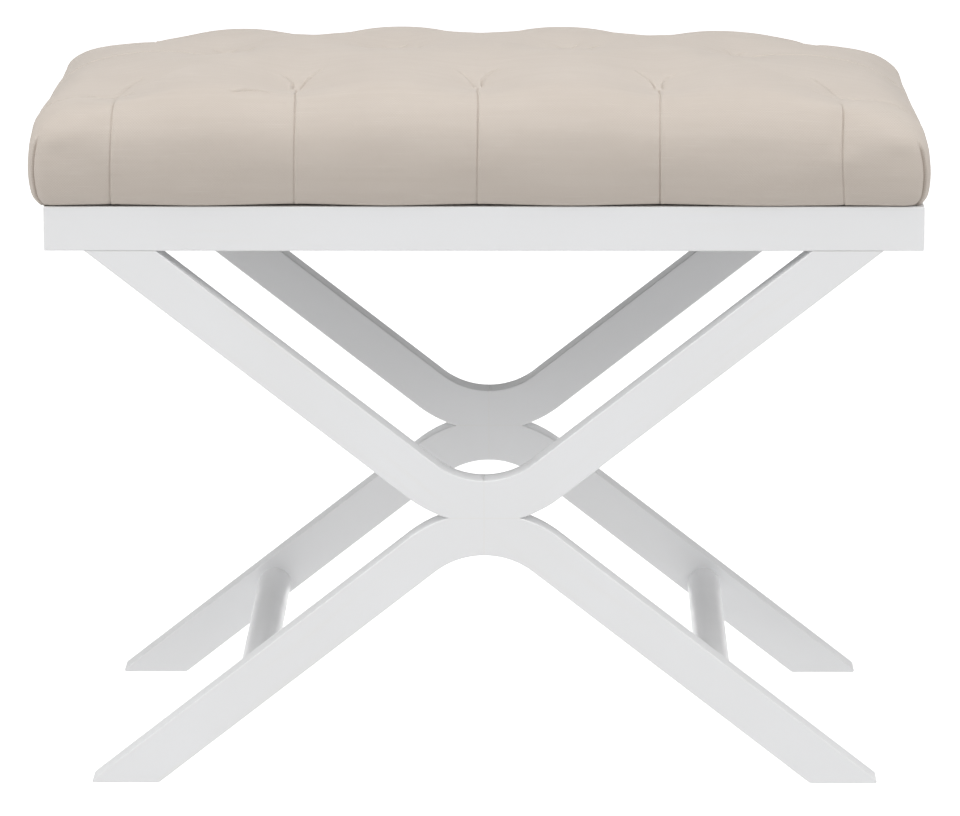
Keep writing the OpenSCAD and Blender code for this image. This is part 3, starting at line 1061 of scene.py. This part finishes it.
def hem_rings():
    """Rings that close the cushion below: the hem, and the room for the seat board."""
    board = BOARD_GAP - (HALF_X - board_high.x)
    return [
        (-HEM, BOTTOM, HEM_CORNER),
        (-HEM, BOTTOM + CLOTH_THICK, HEM_CORNER),
        (board, BOTTOM + CLOTH_THICK, BOARD_CORNER),
        (board, board_high.z + BOARD_GAP, BOARD_CORNER),
    ]


def close_below(form, x, y, points, faces, rim):
    """All points and faces of the closed cushion, the sheet's own first."""
    faces = list(faces)
    every = [points]
    last = rim
    total = len(points)
    for out, height, corner in hem_rings():
        size = (HALF_X + out, HALF_Y + out)
        ring = form.on_ring(x[rim], y[rim], form.a, form.b, size[0], size[1], corner, height)
        every.append(ring)
        here = total + np.arange(len(rim))
        for k in range(len(rim)):
            after = (k + 1) % len(rim)
            faces.append([int(last[after]), int(last[k]), int(here[k]), int(here[after])])
        last = here
        total += len(rim)
    faces.append(last[::-1].tolist())
    return np.vstack(every), faces


def map_cloth(mesh, form, x, y, sheet_faces):
    """Stores lengths along the cloth on each face, so that the weave follows it."""
    layer = mesh.uv_layers.new(name="cloth")
    plain = form.at(x, y)
    totals = np.empty(len(mesh.polygons), int)
    mesh.polygons.foreach_get("loop_total", totals)
    loops = np.empty(len(mesh.loops), int)
    mesh.loops.foreach_get("vertex_index", loops)
    places = np.empty(len(mesh.vertices) * 3)
    mesh.vertices.foreach_get("co", places)
    owner = np.repeat(np.arange(len(totals)), totals)
    on_sheet = owner < sheet_faces
    corner = loops[on_sheet]
    owner = owner[on_sheet]
    middle_x = np.bincount(owner, np.abs(x[corner])) / totals[:sheet_faces]
    middle_y = np.bincount(owner, np.abs(y[corner])) / totals[:sheet_faces]
    at_end = (form.a - middle_x < form.b - middle_y)[owner]
    cloth = places.reshape(-1, 3)[loops, :2]
    cloth[on_sheet, 0] = np.where(at_end, x[corner], plain[corner, 0])
    cloth[on_sheet, 1] = np.where(at_end, plain[corner, 1], y[corner])
    layer.data.foreach_set("uv", cloth.ravel())


def add_cushion(material):
    cushion = Cushion()
    x, y, points = cushion.fine()
    rim = rim_of(*x.shape)
    middle_x = (x[:-1, :-1] + x[1:, 1:]) / 2
    middle_y = (y[:-1, :-1] + y[1:, 1:]) / 2
    grid = SplitGrid(x, y, cushion.near_creases(middle_x, middle_y))
    added = slice(x.size, None)
    places = np.vstack([points.reshape(-1, 3), cushion.scattered(grid.x[added], grid.y[added])])
    normals = np.vstack(
        [
            normals_of(points).reshape(-1, 3),
            scattered_normals(cushion, grid.x[added], grid.y[added]),
        ]
    )
    places = places + normals * fold_lift(cushion, grid.x, grid.y)[:, None]
    every, faces = close_below(cushion.form, grid.x, grid.y, places, grid.faces, rim)
    made = make_object("cushion", every.tolist(), faces, material)
    map_cloth(made.data, cushion.form, grid.x, grid.y, len(grid.faces))
    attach(made, "root")
    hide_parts("seat_cover", "seat_wadding", "seat_foam")


# ---- Dust cover ----

DUST_SAG = 2.5 * MM
DUST_RIPPLE = 0.5 * MM
DUST_STEP = 6 * MM
RAIL_WIDTH = 0.030  # of the frame over which the cloth lies flat
SLACK_RUN = 0.10  # from there to its full sag
STAPLE_PITCH = 0.048


def add_dust_cover(material):
    """The black cloth under the seat: stapled at its edge, sagging a little inside it."""
    low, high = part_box("dust_cover")
    half_x = high.x
    half_y = high.y
    xs = np.linspace(-half_x, half_x, 2 * round(half_x / DUST_STEP) + 1)
    ys = np.linspace(-half_y, half_y, 2 * round(half_y / DUST_STEP) + 1)
    x, y = np.meshgrid(xs, ys)
    inside = np.minimum(HALF_X - RAIL_WIDTH - np.abs(x), HALF_Y - RAIL_WIDTH - np.abs(y))
    slack = np.clip(inside / SLACK_RUN, 0, 1)
    slack = slack * slack * (3 - 2 * slack)
    ripple = np.sin(x * 61 + 2 * np.sin(y * 23)) + np.sin(y * 47 + 1.5 * np.sin(x * 19))
    pucker = np.exp(-np.clip(inside, 0, 1) / 0.03) * np.clip(inside / 0.01, 0, 1)
    along = np.where(np.abs(x) / half_x > np.abs(y) / half_y, y, x)
    scallop = np.sin(along * 2 * math.pi / STAPLE_PITCH)
    drop = slack * (DUST_SAG + DUST_RIPPLE * ripple) + DUST_RIPPLE * pucker * (1 + scallop)
    top = np.stack([x, y, high.z - drop], axis=-1)
    bottom = np.stack([x, y, low.z - drop], axis=-1)
    rows, columns = x.shape
    count = rows * columns
    upper = grid_faces(rows, columns)
    lower = upper[:, ::-1] + count
    rim = rim_of(rows, columns)
    after = np.roll(rim, -1)
    sides = np.stack([rim, rim + count, after + count, after], axis=-1)
    faces = np.vstack([upper, lower, sides]).tolist()
    points = np.vstack([top.reshape(-1, 3), bottom.reshape(-1, 3)])
    made = make_object("dust_cover_cloth", points.tolist(), faces, material)
    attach(made, "root")
    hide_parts("dust_cover")


# ---- CAD nodes: bevels and materials ----

BEVEL = 0.9 * MM
SHARP = math.radians(35)
SHORTEST_EDGE = 1.5 * MM
BLOCK_BEVEL = 0.5 * MM
ARM_SLOPE = math.radians(37.86)


def on_joint(first, second, joints):
    """Whether an edge lies in one of the planes (axis, distance from the middle)."""
    for axis, where in joints:
        if abs(abs(first[axis]) - where) < 0.1 * MM and abs(abs(second[axis]) - where) < 0.1 * MM:
            return True
    return False


def mark_edges(node, joints):
    """Bevel weights on the node's long sharp edges, leaving bores and glued joints as they are."""
    mesh = node.data
    count = len(mesh.vertices)
    points = np.empty(count * 3)
    mesh.vertices.foreach_get("co", points)
    points = points.reshape(-1, 3)
    steps = np.round(points / (0.001 * MM)).astype(np.int64)
    same = np.unique(steps, axis=0, return_inverse=True)[1].ravel()
    normals = {}
    for face in mesh.polygons:
        corners = [int(same[i]) for i in face.vertices]
        for first, second in zip(corners, corners[1:] + corners[:1]):
            key = (min(first, second), max(first, second))
            normals.setdefault(key, []).append(np.array(face.normal))
    weights = np.zeros(len(mesh.edges), np.float32)
    for edge in mesh.edges:
        first, second = edge.vertices
        key = tuple(sorted((int(same[first]), int(same[second]))))
        pair = normals.get(key, [])
        if len(pair) == 2 and float(pair[0] @ pair[1]) < math.cos(SHARP):
            long = np.linalg.norm(points[first] - points[second]) > SHORTEST_EDGE
            if long and not on_joint(points[first], points[second], joints):
                weights[edge.index] = 1
    layer = mesh.attributes.new("bevel_weight_edge", "FLOAT", "EDGE")
    layer.data.foreach_set("value", weights)


def shade(mesh):
    """Flat shading on plane faces and smooth on curved ones, by their packed normals."""
    smooth = np.zeros(len(mesh.polygons), bool)
    corner_normals = mesh.corner_normals
    for face in mesh.polygons:
        turn = min(corner_normals[i].vector @ face.normal for i in face.loop_indices)
        smooth[face.index] = turn < math.cos(math.radians(0.3))
    if "custom_normal" in mesh.attributes:
        mesh.attributes.remove(mesh.attributes["custom_normal"])
    mesh.polygons.foreach_set("use_smooth", smooth)


def soften(node, width, joints):
    """Welds the node's split faces and rounds its outer edges."""
    mark_edges(node, joints)
    shade(node.data)
    weld = node.modifiers.new("weld", "WELD")
    weld.merge_threshold = 0.002 * MM
    bevel = node.modifiers.new("bevel", "BEVEL")
    bevel.limit_method = "WEIGHT"
    bevel.width = width
    bevel.segments = 3
    bevel.use_clamp_overlap = False


def dress(names, material, bevel=None, joints=()):
    for name in names:
        node = nodes[name]
        node.data.materials.clear()
        node.data.materials.append(material)
        if bevel is not None:
            soften(node, bevel, joints)


def dress_frame():
    along_x = painted_wood("paint_along_x", (0, 0, 0))
    along_y = painted_wood("paint_along_y", (0, 0, math.pi / 2))
    rising = painted_wood("paint_rising", (0, ARM_SLOPE, 0))
    falling = painted_wood("paint_falling", (0, -ARM_SLOPE, 0))
    arm_low, arm_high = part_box("front_left_arm")
    rail_joints = [(1, -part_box("front_rail")[1].y)]
    cross_joints = [(0, 0.0), (2, arm_low.z), (2, arm_high.z)]
    dress(["front_rail", "back_rail"], along_x, BEVEL, rail_joints)
    dress(["left_rail", "right_rail"], along_y, BEVEL, rail_joints)
    dress(["left_stretcher", "right_stretcher"], along_y)
    for place in ("front", "back"):
        dress([place + "_right_arm", place + "_left_leg"], rising, BEVEL, cross_joints)
        dress([place + "_left_arm", place + "_right_leg"], falling, BEVEL, cross_joints)
    wood = bare_wood()
    blocks = [f"{a}_{b}_block" for a in ("front", "back") for b in ("left", "right")]
    dress(blocks, wood, BLOCK_BEVEL)
    dress(["bend_dowels", "seam_dowels", "arm_dowels", "rail_dowels"], wood)
    steel = zinc_steel()
    dress(["block_screws", "seat_screws", "twine_washers", "cover_staples"], steel)
    dress(["seat_board"], plywood())
    dress(["tuft_twines"], twine())


def write_size():
    def plain(box):
        return [[float(value) for value in corner] for corner in box]

    {"cad": plain(cad_box), "visual": plain(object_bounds())}


add_camera()
add_light()
add_floor(floor_paper())
dress_frame()
add_cushion(linen())
add_dust_cover(dust_cloth())
write_size()
